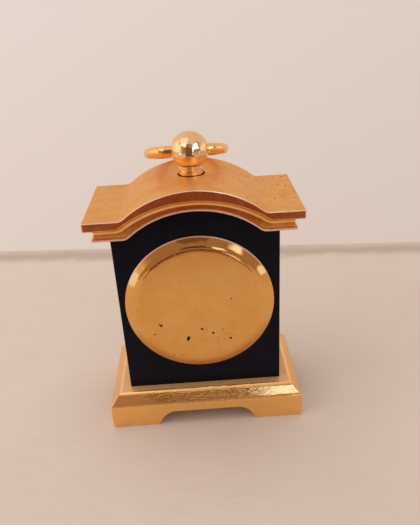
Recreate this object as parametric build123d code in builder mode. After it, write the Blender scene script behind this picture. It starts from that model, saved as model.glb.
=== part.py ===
"""Miniature mantel clock: a black break-arch trunk on a gold plinth, with a gold cornice, a ball crown that
carries a folding bow, and a round quartz insert. Millimetres, +Z up, origin on the floor under the centre.
The dial faces -Y."""
from build123d import *
import math
import os

os.makedirs("parts", exist_ok=True)

# Clearances
seat_gap = 0.02
slide_gap = 0.05
part_gap = 0.1
overrun = 1.0

# Plinth
plinth_width = 38.0
plinth_depth = 21.0
plinth_block = 5.0
plinth_height = 7.2
ledge_width = 34.0
ledge_depth = 17.6
plinth_wall = 2.0
plinth_recess = 4.5
plinth_edge = 0.25
front_foot = 9.1
side_foot = 5.2
foot_height = 3.1
foot_slope = 2.0
foot_radius = 3.3

# Plinth screws
screw_offset = 9.0
screw_radius = 0.8
screw_head_radius = 1.5
screw_head_height = 1.0
screw_grip = 4.0
slot_width = 0.4
slot_depth = 0.45

# Trunk and break arch
trunk_width = 30.0
trunk_depth = 14.0
trunk_edge = 0.2
dial_height = 25.64
arch_radius = 17.6
arch_rise = 4.57
arch_fillet = 2.0

# Cornice, from the top down
cornice_shoulder = 44.1
top_arch_radius = 18.8
top_arch_rise = 4.66
slab_width = 38.0
slab_depth = 19.7
slab_thickness = 1.6
slab_arch_radius = 22.5
slab_arch_rise = 4.29
slab_edge = 0.2
neck_side_step = 1.63
neck_front_step = 1.25
neck_height = 1.9
cove_radius = 0.98
bead_side_step = 0.45
bead_front_step = 0.35
bead_height = 0.4
bead_edge = 0.12
peg_offset = 9.5
peg_radius = 1.2
peg_length = 2.5

# Crown and bow
ball_height = 52.88
ball_radius = 3.36
collar_radius = 2.2
collar_gap = 0.28
collar_depth = 1.3
collar_groove = 0.2
groove_height = 0.62
groove_width = 0.25
pull_travel = 0.8
bow_radius = 6.9
bow_wire = 0.98
bow_offset = 5.3
bow_bend = 1.4
bow_pin_end = 1.5
bow_slip = 0.55
bow_clearance = 0.62
bow_turn = 1.5

# Setting stem and clutch
stem_radius = 0.6
stem_square = 0.8
stem_square_spare = 0.3
stem_pilot_radius = 0.4
stem_pilot_grip = 0.4
stem_thread_top = 1.3
clutch_length = 1.4
clutch_teeth = 15

# Insert case
tube_wall = 0.7
tube_inset = 0.05
rim_overlap = 1.26
rim_height = 0.3
rim_bevel = 1.82
spigot_length = 1.4
spigot_wall = 0.4
lip_overlap = 0.8
lip_thickness = 0.72
lip_round = 0.25
crystal_thickness = 1.0
crystal_chamfer = 0.12
gasket_width = 0.2
reflector_slope = 0.6
cover_bevel_width = 1.86
cover_bevel_height = 1.18
cover_edge_radius = 2.9
cover_lip_radius = 0.15
cover_wall = 1.0
cover_spigot_wall = 0.6
groove_depth = 0.25
groove_length = 0.4
groove_start = 0.5

# Dial and hands
dial_front = -3.6
dial_thickness = 0.4
dial_radius = 11.7
dial_foot_radius = 0.35
dial_foot_offset = 8.2
dial_foot_length = 2.0
washer_radius = 2.0
washer_thickness = 0.1
hand_thickness = 0.15
hour_hand_gap = 4.5
hour_hand_width = 1.1
hour_hub_radius = 1.25
minute_hand_gap = 1.5
minute_hand_width = 0.95
minute_hub_radius = 1.0
hand_spacing = 0.45
hour_hand_angle = 305.0
minute_hand_angle = 60.0

# Movement plates
plate_radius = 9.6
plate_front = -2.1
plate_back = 1.5
work_floor = -0.9
bridge_front = 3.5
bridge_thickness = 0.6
bridge_margin = 1.2
pillar_radius = 0.7
holder_lip = 0.65
small_screw_radius = 0.3
small_head_radius = 0.55
small_head_height = 0.35
small_screw_length = 1.4
small_slot = 0.14

# Gears: teeth, modules and levels
wheel_thickness = 0.25
arbor_radius = 0.2
centre_arbor_radius = 0.3
post_radius = 0.3
motion_module = 0.125
cannon_teeth = 12
minute_teeth = 36
setting_teeth = 18
hour_module = 0.12
minute_pinion_teeth = 10
hour_teeth = 40
centre_module = 0.085
centre_teeth = 50
third_pinion_teeth = 10
third_module = 0.12
third_teeth = 30
intermediate_pinion_teeth = 10
rotor_module = 0.08
intermediate_teeth = 48
rotor_teeth = 8
addendum_share = 1.0
dedendum_share = 1.25
tooth_root_share = 0.34
tooth_tip_share = 0.12
motion_level = -1.3
hour_level = -2.8
hour_tube_wall = 0.23
cannon_radius = 0.55
cannon_length = 0.35
centre_level = 1.8
third_level = 2.4
intermediate_level = 2.85
pinion_margin = 0.05
pivot_depth = 0.5
third_angle = 225.0
intermediate_angle = 190.0
rotor_angle = 110.0

# Motor, circuit and battery
rotor_magnet_radius = 0.7
rotor_magnet_length = 0.75
stator_thickness = 0.4
stator_gap = 0.25
stator_ring = 0.75
stator_arm = 1.2
stator_elbow = 2.2
core_height = 5.6
core_left = -6.6
core_right = -1.5
core_thickness = 0.4
core_width = 0.9
coil_radius = 0.95
coil_inset = 0.75
board_inner = 3.3
board_outer = 9.1
board_start_angle = 10.0
board_end_angle = 58.0
board_thickness = 0.3
can_radius = 0.7
can_length = 4.2
can_reach = 5.6
can_angle = 34.0
chip_radius = 0.85
chip_height = 0.45
chip_reach = 7.6
chip_angle = 50.0
battery_radius = 3.4
battery_thickness = 2.6
battery_cap_radius = 2.7
battery_cap_height = 0.3
battery_reach = 5.9
battery_angle = -45.0
clip_thickness = 0.2
clip_pad = 1.3
clip_post_radius = 0.6

# Worked out: case
trunk_face = trunk_depth / 2
neck_width = slab_width - 2 * neck_side_step
neck_depth = slab_depth - 2 * neck_front_step
bead_width = neck_width + 2 * bead_side_step
bead_depth = neck_depth + 2 * bead_front_step
slab_low = cornice_shoulder - slab_thickness
neck_low = slab_low - neck_height
bead_low = neck_low - bead_height
trunk_shoulder = bead_low - seat_gap
top_line = (cornice_shoulder, top_arch_rise, top_arch_radius)
slab_line = (slab_low, slab_arch_rise, slab_arch_radius)
neck_top_line = (slab_low + slab_thickness / 2, slab_arch_rise, slab_arch_radius)
neck_line = (neck_low, arch_rise, arch_radius)
bead_line = (bead_low, arch_rise, arch_radius)
trunk_line = (trunk_shoulder, arch_rise, arch_radius)
cornice_peak = cornice_shoulder + top_arch_rise
collar_low = cornice_peak - collar_depth
stem_hole_radius = stem_radius + slide_gap
bow_reach = slab_depth / 2
bow_half = math.sqrt(max(bow_radius**2 - (bow_reach - bow_offset) ** 2, 0)) - bow_slip
bow_edge_height = cornice_peak - top_arch_radius + math.sqrt(top_arch_radius**2 - bow_half**2)
bow_drop = ball_height - bow_edge_height - bow_wire - bow_clearance
bow_slope = math.degrees(math.atan2(bow_drop, bow_reach))
front_cut = plinth_width - 2 * front_foot
side_cut = plinth_depth - 2 * side_foot
head_seat = plinth_recess + screw_head_height + part_gap
peg_low = trunk_shoulder - peg_length

# Worked out: insert
tube_half = trunk_face - tube_inset
tube_bore = dial_radius + 2 * part_gap
tube_radius = tube_bore + tube_wall
rim_radius = tube_radius + rim_overlap
lip_radius = dial_radius - lip_overlap
reflector_foot = lip_radius - reflector_slope
hour_hand_length = reflector_foot - hour_hand_gap
minute_hand_length = reflector_foot - minute_hand_gap
spigot_radius = tube_bore - seat_gap
seat_radius = spigot_radius - spigot_wall
face_depth = trunk_face + rim_height + rim_bevel
face_radius = rim_radius - rim_bevel
cover_depth = trunk_face + rim_height + cover_bevel_height
cover_radius = rim_radius - cover_bevel_width
crystal_front = -face_depth + lip_thickness
crystal_back = crystal_front + crystal_thickness
crystal_radius = seat_radius - gasket_width - seat_gap
reflector_radius = seat_radius - seat_gap
spigot_end = trunk_face - spigot_length
dial_back = dial_front + dial_thickness
holder_radius = tube_bore - seat_gap
plate_hole = plate_radius + seat_gap

# Worked out: gear places, seen from the dial side with the hands' centre at (0, 0)
motion_distance = (cannon_teeth + minute_teeth) * motion_module / 2
setting_distance = (minute_teeth + setting_teeth) * motion_module / 2
setting_height = motion_distance + setting_distance
setting_tip = setting_height + (setting_teeth / 2 + addendum_share) * motion_module
hour_tube_bore = cannon_radius + slide_gap
hour_tube_radius = hour_tube_bore + hour_tube_wall
hour_hand_front = dial_front - hand_spacing - hand_thickness
minute_hand_front = hour_hand_front - hand_spacing
clutch_low = setting_tip + 2 * part_gap
clutch_high = clutch_low + clutch_length
clutch_tip = (clutch_teeth / 2 + addendum_share) * motion_module
clutch_room = clutch_tip + part_gap
stem_square_length = clutch_length + stem_square_spare
stem_pilot_length = pull_travel + stem_pilot_grip
bridge_back = bridge_front + bridge_thickness
stator_front = plate_back + slide_gap
stator_back = stator_front + stator_thickness
core_front = stator_back + seat_gap
core_back = core_front + core_thickness
core_middle = core_front + core_thickness / 2
stator_hole = rotor_magnet_radius + stator_gap
board_front = plate_back + slide_gap
board_back = board_front + board_thickness
battery_front = plate_back + slide_gap
battery_back = battery_front + battery_thickness
clip_front = battery_back + slide_gap
clip_back = clip_front + clip_thickness
clip_reach = battery_radius + clip_post_radius + small_screw_radius
small_hole_radius = small_screw_radius + seat_gap


def dial_plane(depth):
    """The plane across the hands' axis at y = depth, seen from the dial side: x to +X, y to +Z."""
    return Plane(origin=(0, depth, dial_height), x_dir=(1, 0, 0), z_dir=(0, -1, 0))


turning_plane = Plane(origin=(0, 0, dial_height), x_dir=(1, 0, 0), z_dir=(0, 0, 1))
dial_axis = Axis((0, 0, dial_height), (0, 1, 0))


def step_from(spot, distance, direction):
    """The point at a distance and a direction in degrees from another one."""
    angle = math.radians(direction)
    return (spot[0] + distance * math.cos(angle), spot[1] + distance * math.sin(angle))


def mesh_phase(driver_phase, driver_teeth, teeth, direction):
    """The phase that puts a gear in mesh with a driver that it lies from in the given direction."""
    along_share = (direction - driver_phase) * driver_teeth / 360
    return direction + 180 - (0.5 - along_share) * 360 / teeth


def gear_face(plane, spot, teeth, module, phase, bore=0):
    """A gear's face in a plane, with straight-flanked teeth and an optional bore."""
    pitch_radius = teeth * module / 2
    root = pitch_radius - dedendum_share * module
    tip = pitch_radius + addendum_share * module
    corners = (
        (root, -tooth_root_share),
        (tip, -tooth_tip_share),
        (tip, tooth_tip_share),
        (root, tooth_root_share),
    )
    points = []
    for tooth in range(teeth):
        for radius, side_share in corners:
            points.append(step_from(spot, radius, phase + (tooth + side_share) * 360 / teeth))
    with BuildSketch(plane) as face:
        with BuildLine():
            Polyline(*points, close=True)
        make_face()
        if bore:
            with Locations(spot):
                Circle(bore, mode=Mode.SUBTRACT)
    return face.sketch


def disc_face(depth, spots, radius, bore=0):
    """Round faces of one radius at y = depth, one at each spot, with an optional bore."""
    with BuildSketch(dial_plane(depth)) as face:
        with Locations(*spots):
            Circle(radius)
            if bore:
                Circle(bore, mode=Mode.SUBTRACT)
    return face.sketch


def turned_face(points):
    """A closed profile of (radius, depth) points, to be turned about the hands' axis."""
    with BuildSketch(turning_plane) as face:
        with BuildLine():
            Polyline(*points, close=True)
        make_face()
    return face.sketch


def arch_line(width, line):
    """Draws a break-arch line from the right end to the left: flat shoulders, fillets and the arch.
    The line is given by the height of its shoulders, its rise and its radius."""
    shoulder, rise, radius = line
    peak = shoulder + rise
    centre = peak - radius
    reach = radius + arch_fillet
    fillet_height = shoulder + arch_fillet
    fillet_x = math.sqrt(reach**2 - (fillet_height - centre) ** 2)
    arch_angle = math.degrees(math.atan2(fillet_height - centre, fillet_x))
    arch_end = step_from((0, centre), radius, arch_angle)
    bend = step_from((fillet_x, fillet_height), arch_fillet, (270 + arch_angle + 180) / 2)
    Line((width / 2, shoulder), (fillet_x, shoulder))
    ThreePointArc((fillet_x, shoulder), bend, arch_end)
    ThreePointArc(arch_end, (0, peak), (-arch_end[0], arch_end[1]))
    ThreePointArc((-arch_end[0], arch_end[1]), (-bend[0], bend[1]), (-fillet_x, shoulder))
    Line((-fillet_x, shoulder), (-width / 2, shoulder))


def arch_band(width, low, high):
    """The face between two break-arch lines."""
    with BuildSketch(Plane.XZ) as band:
        with BuildLine():
            arch_line(width, high)
            Line((-width / 2, high[0]), (-width / 2, low[0]))
            arch_line(width, low)
            Line((width / 2, low[0]), (width / 2, high[0]))
        make_face()
    return band.sketch


def on_bead(edge):
    """Whether an edge of the cornice lies on the outside of its bead."""
    middle = edge.center()
    front_miss = abs(abs(middle.Y) - bead_depth / 2)
    side_miss = abs(abs(middle.X) - bead_width / 2)
    return min(front_miss, side_miss) < seat_gap


def bar_face(depth, start, end, width):
    """A bar with round ends between two spots, at y = depth."""
    with BuildSketch(dial_plane(depth)) as bar:
        with Locations(start, end):
            Circle(width / 2)
        make_hull()
    return bar.sketch


def hand_face(depth, length, width, hub, bore, clock_angle):
    """A leaf-shaped hand that points at an angle in degrees from 12, clockwise."""
    direction = 90 - clock_angle
    middle = step_from((0, 0), length / 2, direction)
    tip = step_from((0, 0), length, direction)
    with BuildSketch(dial_plane(depth)) as hand:
        with BuildLine():
            ThreePointArc((0, 0), step_from(middle, width / 2, direction - 90), tip)
            ThreePointArc(tip, step_from(middle, width / 2, direction + 90), (0, 0))
        make_face()
        Circle(hub)
        Circle(bore, mode=Mode.SUBTRACT)
    return hand.sketch


def foot_cut(plane, width):
    """The opening between two bracket feet: sloped ends, rounded into a flat top."""
    top_half = width / 2 - foot_slope
    with BuildSketch(plane) as cut:
        with BuildLine():
            Polyline(
                (-width / 2, -overrun),
                (width / 2, -overrun),
                (width / 2, 0),
                (top_half, foot_height),
                (-top_half, foot_height),
                (-width / 2, 0),
                close=True,
            )
        make_face()
        fillet(cut.vertices().group_by(Axis.Y)[-1], radius=foot_radius)
    return cut.sketch


# Gear places and phases
centre_spot = (0, 0)
minute_spot = (0, motion_distance)
setting_spot = (0, setting_height)
third_distance = (centre_teeth + third_pinion_teeth) * centre_module / 2
third_spot = step_from(centre_spot, third_distance, third_angle)
intermediate_distance = (third_teeth + intermediate_pinion_teeth) * third_module / 2
intermediate_spot = step_from(third_spot, intermediate_distance, intermediate_angle)
rotor_distance = (intermediate_teeth + rotor_teeth) * rotor_module / 2
rotor_spot = step_from(intermediate_spot, rotor_distance, rotor_angle)
minute_phase = mesh_phase(0, cannon_teeth, minute_teeth, 90)
setting_phase = mesh_phase(minute_phase, minute_teeth, setting_teeth, 90)
hour_phase = mesh_phase(0, minute_pinion_teeth, hour_teeth, 270)
third_phase = mesh_phase(0, centre_teeth, third_pinion_teeth, third_angle)
intermediate_phase = mesh_phase(0, third_teeth, intermediate_pinion_teeth, intermediate_angle)
rotor_phase = mesh_phase(0, intermediate_teeth, rotor_teeth, rotor_angle)
train_spots = (third_spot, intermediate_spot, rotor_spot)

# Places of the movement's other pieces
battery_spot = step_from(centre_spot, battery_reach, battery_angle)
clip_spots = (
    step_from(battery_spot, clip_reach, battery_angle + 90),
    step_from(battery_spot, clip_reach, battery_angle - 90),
)
core_spots = ((core_left, core_height), (core_right, core_height))
pillar_reach_shares = (0.86, 0.64, 0.37)
pillar_angles = (203.0, 258.0, 75.0)
pillar_spots = [
    step_from(centre_spot, share * plate_radius, direction)
    for share, direction in zip(pillar_reach_shares, pillar_angles)
]
foot_spots = ((dial_foot_offset, 0), (-dial_foot_offset, 0))
screw_spots = ((screw_offset, 0), (-screw_offset, 0))
peg_spots = ((peg_offset, 0), (-peg_offset, 0))

# Plinth: a hollow casting on four bracket feet
with BuildPart() as plinth:
    with BuildSketch(Plane.XY):
        Rectangle(plinth_width, plinth_depth)
    extrude(amount=plinth_block)
    with BuildSketch(Plane.XY.offset(plinth_block)):
        Rectangle(plinth_width, plinth_depth)
    with BuildSketch(Plane.XY.offset(plinth_height)):
        Rectangle(ledge_width, ledge_depth)
    loft()
    fillet(plinth.edges().sort_by(Axis.Z)[4:], radius=plinth_edge)
    with BuildSketch(Plane.XY):
        Rectangle(plinth_width - 2 * plinth_wall, plinth_depth - 2 * plinth_wall)
    extrude(amount=plinth_recess, mode=Mode.SUBTRACT)
    extrude(foot_cut(Plane.XZ, front_cut), amount=plinth_depth, both=True, mode=Mode.SUBTRACT)
    extrude(foot_cut(Plane.YZ, side_cut), amount=plinth_width, both=True, mode=Mode.SUBTRACT)
    with BuildSketch(Plane.XY.offset(plinth_recess)):
        with Locations(*screw_spots):
            Circle(screw_radius + part_gap)
    extrude(amount=plinth_height, mode=Mode.SUBTRACT)
    with BuildSketch(Plane.XY.offset(plinth_recess)):
        with Locations(*screw_spots):
            Circle(screw_head_radius + part_gap)
    extrude(amount=head_seat - plinth_recess, mode=Mode.SUBTRACT)

# Plinth screws: slotted cheese heads, up into the trunk
with BuildPart() as plinth_screws:
    with BuildSketch(Plane.XY.offset(head_seat - screw_head_height)):
        with Locations(*screw_spots):
            Circle(screw_head_radius)
    extrude(amount=screw_head_height)
    with BuildSketch(Plane.XY.offset(head_seat)):
        with Locations(*screw_spots):
            Circle(screw_radius)
    extrude(amount=plinth_height - head_seat + screw_grip)
    with BuildSketch(Plane.XY.offset(head_seat - screw_head_height)):
        with Locations(*screw_spots):
            Rectangle(2 * screw_head_radius + overrun, slot_width)
    extrude(amount=slot_depth, mode=Mode.SUBTRACT)

# Trunk: the lacquered case body, bored for the insert
with BuildPart() as trunk:
    with BuildSketch(Plane.XZ):
        with BuildLine():
            arch_line(trunk_width, trunk_line)
            Line((-trunk_width / 2, trunk_shoulder), (-trunk_width / 2, plinth_height))
            Line((-trunk_width / 2, plinth_height), (trunk_width / 2, plinth_height))
            Line((trunk_width / 2, plinth_height), (trunk_width / 2, trunk_shoulder))
        make_face()
    extrude(amount=trunk_face, both=True)
    fillet(trunk.edges().filter_by(Axis.Z), radius=trunk_edge)
    trunk_bore = disc_face(0, (centre_spot,), tube_radius + seat_gap)
    extrude(trunk_bore, amount=trunk_depth, both=True, mode=Mode.SUBTRACT)
    with BuildSketch(Plane.XY.offset(dial_height)):
        Circle(stem_hole_radius)
    extrude(amount=cornice_peak - dial_height, mode=Mode.SUBTRACT)
    with BuildSketch(Plane.XY.offset(plinth_height)):
        with Locations(*screw_spots):
            Circle(screw_radius + seat_gap)
    extrude(amount=screw_grip + part_gap, mode=Mode.SUBTRACT)
    with BuildSketch(Plane.XY.offset(peg_low - part_gap)):
        with Locations(*peg_spots):
            Circle(peg_radius + seat_gap)
    extrude(amount=cornice_peak - peg_low, mode=Mode.SUBTRACT)

# Cornice: a slab over a cove and a bead, each band following the break arch
with BuildPart() as cornice:
    extrude(arch_band(slab_width, slab_line, top_line), amount=slab_depth / 2, both=True)
    fillet(cornice.edges(), radius=slab_edge)
    extrude(arch_band(neck_width, neck_line, neck_top_line), amount=neck_depth / 2, both=True)
    fillet(cornice.edges(Select.NEW), radius=cove_radius)
    extrude(arch_band(bead_width, bead_line, neck_line), amount=bead_depth / 2, both=True)
    fillet(cornice.edges().filter_by(on_bead), radius=bead_edge)
    with BuildSketch(Plane.XY.offset(peg_low)):
        with Locations(*peg_spots):
            Circle(peg_radius)
    extrude(amount=slab_low - peg_low)
    with BuildSketch(Plane.XY.offset(collar_low - part_gap)):
        Circle(collar_radius + collar_gap)
    extrude(amount=overrun + collar_depth, mode=Mode.SUBTRACT)
    with BuildSketch(Plane.XY.offset(peg_low)):
        Circle(stem_hole_radius)
    extrude(amount=cornice_peak - peg_low, mode=Mode.SUBTRACT)

# Crown: ball and grooved collar, drilled for the stem and for the bow's pins
groove_low = cornice_peak + groove_height
bow_axis_plane = Plane(
    origin=(0, 0, ball_height),
    x_dir=(0, 0, 1),
    z_dir=(math.cos(math.radians(bow_turn)), math.sin(math.radians(bow_turn)), 0),
)
with BuildPart() as crown_ball:
    with BuildSketch(Plane.XZ):
        with BuildLine():
            CenterArc((0, ball_height), ball_radius, -90, 180)
            Line((0, ball_height + ball_radius), (0, ball_height - ball_radius))
        make_face()
        with BuildLine():
            Polyline(
                (0, collar_low),
                (collar_radius, collar_low),
                (collar_radius, groove_low),
                (collar_radius - collar_groove, groove_low),
                (collar_radius - collar_groove, groove_low + groove_width),
                (collar_radius, groove_low + groove_width),
                (collar_radius, ball_height - ball_radius / 2),
                (0, ball_height - ball_radius / 2),
                close=True,
            )
        make_face()
    revolve(axis=Axis.Z)
    with BuildSketch(Plane.XY.offset(collar_low)):
        Circle(stem_radius + seat_gap)
    extrude(amount=ball_height - stem_thread_top - collar_low, mode=Mode.SUBTRACT)
    with BuildSketch(bow_axis_plane):
        Circle(bow_wire + slide_gap)
    extrude(amount=ball_radius, both=True, mode=Mode.SUBTRACT)

# Bow: a round wire ring whose ends turn in to the pivot line
turn_sine, turn_cosine = math.sin(math.radians(bow_turn)), math.cos(math.radians(bow_turn))
slope_sine, slope_cosine = math.sin(math.radians(bow_slope)), math.cos(math.radians(bow_slope))
bow_plane = Plane(
    origin=(turn_cosine * bow_slip, turn_sine * bow_slip, ball_height),
    x_dir=(turn_cosine, turn_sine, 0),
    z_dir=(-turn_sine * slope_sine, turn_cosine * slope_sine, -slope_cosine),
)
bend_x = math.sqrt((bow_radius - bow_bend) ** 2 - (bow_offset - bow_bend) ** 2)
bend_angle = math.degrees(math.atan2(bow_bend - bow_offset, bend_x))
with BuildPart() as bow:
    with BuildLine(bow_plane) as bow_line:
        Line((bow_pin_end, 0), (bend_x, 0))
        CenterArc((bend_x, bow_bend), bow_bend, -90, bend_angle + 90)
        CenterArc((0, bow_offset), bow_radius, bend_angle, 180 - 2 * bend_angle)
        CenterArc((-bend_x, bow_bend), bow_bend, 180 - bend_angle, bend_angle + 90)
        Line((-bend_x, 0), (-bow_pin_end, 0))
    with BuildSketch(Plane(origin=bow_line.line @ 0, z_dir=bow_line.line % 0)):
        Circle(bow_wire)
    sweep()

# Setting stem: threaded into the ball, square where it drives the clutch
stem_top = ball_height - stem_thread_top - part_gap
square_low = dial_height + clutch_low
square_high = square_low + stem_square_length
with BuildPart() as setting_stem:
    with BuildSketch(Plane.XY.offset(square_high)):
        Circle(stem_radius)
    extrude(amount=stem_top - square_high)
    with BuildSketch(Plane.XY.offset(square_low)):
        Rectangle(stem_square, stem_square)
    extrude(amount=stem_square_length)
    with BuildSketch(Plane.XY.offset(square_low - stem_pilot_length)):
        Circle(stem_pilot_radius)
    extrude(amount=stem_pilot_length)

# Clutch pinion: turns with the stem's square and lets it slide
with BuildPart() as clutch_pinion:
    clutch_face = gear_face(Plane.XY.offset(square_low), (0, 0), clutch_teeth, motion_module, 0)
    extrude(clutch_face, amount=clutch_length)
    with BuildSketch(Plane.XY.offset(square_low)):
        Rectangle(stem_square + 2 * slide_gap, stem_square + 2 * slide_gap)
    extrude(amount=clutch_length, mode=Mode.SUBTRACT)

# Insert tube: the movement's case, through the trunk
with BuildPart() as insert_tube:
    extrude(disc_face(-tube_half, (centre_spot,), tube_radius, tube_bore), amount=-2 * tube_half)
    with BuildSketch(Plane.XY.offset(dial_height)):
        Circle(stem_hole_radius)
    extrude(amount=rim_radius, mode=Mode.SUBTRACT)

# Bezel: bevelled front ring with a spigot in the tube
with BuildPart() as bezel:
    revolve(
        turned_face(
            (
                (rim_radius, -trunk_face),
                (rim_radius, -trunk_face - rim_height),
                (face_radius, -face_depth),
                (lip_radius, -face_depth),
                (lip_radius, crystal_front),
                (seat_radius, crystal_front),
                (seat_radius, -spigot_end),
                (spigot_radius, -spigot_end),
                (spigot_radius, -trunk_face),
            )
        ),
        axis=dial_axis,
    )
    fillet(bezel.edges().group_by(Axis.Y)[0], radius=lip_round)

# Crystal and its gasket
with BuildPart() as crystal:
    extrude(disc_face(crystal_front + seat_gap, (centre_spot,), crystal_radius), amount=-crystal_thickness)
    chamfer(crystal.edges().group_by(Axis.Y)[0], length=crystal_chamfer)

with BuildPart() as crystal_gasket:
    gasket_bore = crystal_radius + seat_gap
    gasket_face = disc_face(crystal_front + seat_gap, (centre_spot,), reflector_radius, gasket_bore)
    extrude(gasket_face, amount=-crystal_thickness)

# Reflector ring: slopes from the crystal down to the dial
reflector_front = crystal_back + 2 * seat_gap
with BuildPart() as reflector_ring:
    revolve(
        turned_face(
            (
                (reflector_radius, reflector_front),
                (lip_radius, reflector_front),
                (reflector_foot, dial_front - seat_gap),
                (reflector_radius, dial_front - seat_gap),
            )
        ),
        axis=dial_axis,
    )

# Dial: disc with two feet for the main plate
with BuildPart() as dial:
    dial_bore = hour_tube_radius + part_gap
    extrude(disc_face(dial_front, (centre_spot,), dial_radius, dial_bore), amount=-dial_thickness)
    extrude(disc_face(dial_back, foot_spots, dial_foot_radius), amount=-dial_foot_length)

with BuildPart() as dial_washer:
    washer_face = disc_face(dial_back + part_gap, (centre_spot,), washer_radius, hour_tube_radius + part_gap)
    extrude(washer_face, amount=-washer_thickness)

# Hands
with BuildPart() as hour_hand:
    hour_face = hand_face(
        hour_hand_front,
        hour_hand_length,
        hour_hand_width,
        hour_hub_radius,
        hour_tube_radius + seat_gap,
        hour_hand_angle,
    )
    extrude(hour_face, amount=-hand_thickness)

with BuildPart() as minute_hand:
    minute_face = hand_face(
        minute_hand_front,
        minute_hand_length,
        minute_hand_width,
        minute_hub_radius,
        cannon_radius + seat_gap,
        minute_hand_angle,
    )
    extrude(minute_face, amount=-hand_thickness)

# Movement holder: ring between the tube and the movement, with a lip in front of the plate
holder_front = dial_back + seat_gap
holder_back = spigot_end - seat_gap
holder_bore = plate_radius - holder_lip
holder_step = plate_front - seat_gap
with BuildPart() as movement_holder:
    revolve(
        turned_face(
            (
                (holder_radius, holder_front),
                (holder_radius, holder_back),
                (plate_hole, holder_back),
                (plate_hole, holder_step),
                (holder_bore, holder_step),
                (holder_bore, holder_front),
            )
        ),
        axis=dial_axis,
    )
    with BuildSketch(Plane.XY.offset(dial_height)):
        Circle(stem_hole_radius)
    extrude(amount=rim_radius, mode=Mode.SUBTRACT)

# Back cover: snap cover with a bevel rounded into its face and a gasket groove in its spigot
groove_back = trunk_face - groove_start
groove_front = groove_back - groove_length
groove_radius = spigot_radius - groove_depth
cover_bore = spigot_radius - cover_spigot_wall
with BuildPart() as back_cover:
    revolve(
        turned_face(
            (
                (0, cover_depth),
                (cover_radius, cover_depth),
                (rim_radius, trunk_face + rim_height),
                (rim_radius, trunk_face),
                (spigot_radius, trunk_face),
                (spigot_radius, groove_back),
                (groove_radius, groove_back),
                (groove_radius, groove_front),
                (spigot_radius, groove_front),
                (spigot_radius, spigot_end),
                (cover_bore, spigot_end),
                (cover_bore, cover_depth - cover_wall),
                (0, cover_depth - cover_wall),
            )
        ),
        axis=dial_axis,
    )
    rings = back_cover.edges().filter_by(GeomType.CIRCLE).group_by(Axis.Y)
    fillet(rings[-2], radius=cover_lip_radius)
    fillet(back_cover.edges().group_by(Axis.Y)[-1], radius=cover_edge_radius)

with BuildPart() as back_gasket:
    seal_face = disc_face(groove_front + seat_gap, (centre_spot,), spigot_radius, groove_radius + seat_gap)
    extrude(seal_face, amount=-(groove_length - 2 * seat_gap))

# Main plate: motion work pocket in front, train and pillars behind
with BuildPart() as main_plate:
    extrude(disc_face(plate_front, (centre_spot,), plate_radius), amount=plate_front - plate_back)
    for spot, teeth in (
        (centre_spot, cannon_teeth),
        (minute_spot, minute_teeth),
        (setting_spot, setting_teeth),
    ):
        pocket_radius = (teeth / 2 + addendum_share) * motion_module + part_gap
        pocket_face = disc_face(plate_front, (spot,), pocket_radius)
        extrude(pocket_face, amount=plate_front - work_floor, mode=Mode.SUBTRACT)
    with BuildSketch(dial_plane(plate_front)):
        with Locations((0, (clutch_low + clutch_high) / 2)):
            Rectangle(2 * clutch_room, clutch_length + 2 * part_gap)
    extrude(amount=plate_front - clutch_room, mode=Mode.SUBTRACT)
    with BuildSketch(Plane.XY.offset(square_low)):
        Circle(stem_hole_radius)
    extrude(amount=plate_radius, mode=Mode.SUBTRACT)
    with BuildSketch(Plane.XY.offset(square_low - stem_pilot_length - part_gap)):
        Circle(stem_pilot_radius + slide_gap)
    extrude(amount=stem_pilot_length + part_gap, mode=Mode.SUBTRACT)
    coil_floor = core_middle - coil_radius - part_gap
    with BuildSketch(dial_plane(coil_floor)):
        with Locations(((core_left + core_right) / 2, core_height)):
            Rectangle(core_right - core_left - coil_inset, 2 * (coil_radius + part_gap))
    extrude(amount=coil_floor - plate_back, mode=Mode.SUBTRACT)
    extrude(disc_face(work_floor, (minute_spot,), post_radius), amount=work_floor - hour_level)
    setting_post = work_floor - motion_level + pinion_margin
    extrude(disc_face(work_floor, (setting_spot,), post_radius), amount=setting_post)
    extrude(disc_face(plate_back, pillar_spots, pillar_radius), amount=plate_back - bridge_front + seat_gap)
    extrude(disc_face(plate_back, clip_spots, clip_post_radius), amount=plate_back - clip_front + seat_gap)
    for spots, top, clamped in (
        (pillar_spots, bridge_front, bridge_thickness),
        (clip_spots, clip_front, clip_thickness),
        (core_spots, plate_back, core_back - plate_back),
    ):
        hole_face = disc_face(top, spots, small_hole_radius)
        extrude(hole_face, amount=small_screw_length - clamped + part_gap, mode=Mode.SUBTRACT)
    centre_hole = disc_face(plate_front, (centre_spot,), centre_arbor_radius + slide_gap)
    extrude(centre_hole, amount=plate_front - plate_back, mode=Mode.SUBTRACT)
    front_pivots = disc_face(plate_back, train_spots, arbor_radius + slide_gap)
    extrude(front_pivots, amount=pivot_depth, mode=Mode.SUBTRACT)
    foot_hole = disc_face(plate_front, foot_spots, dial_foot_radius + seat_gap)
    extrude(foot_hole, amount=-(dial_back + dial_foot_length + part_gap - plate_front), mode=Mode.SUBTRACT)

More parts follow.
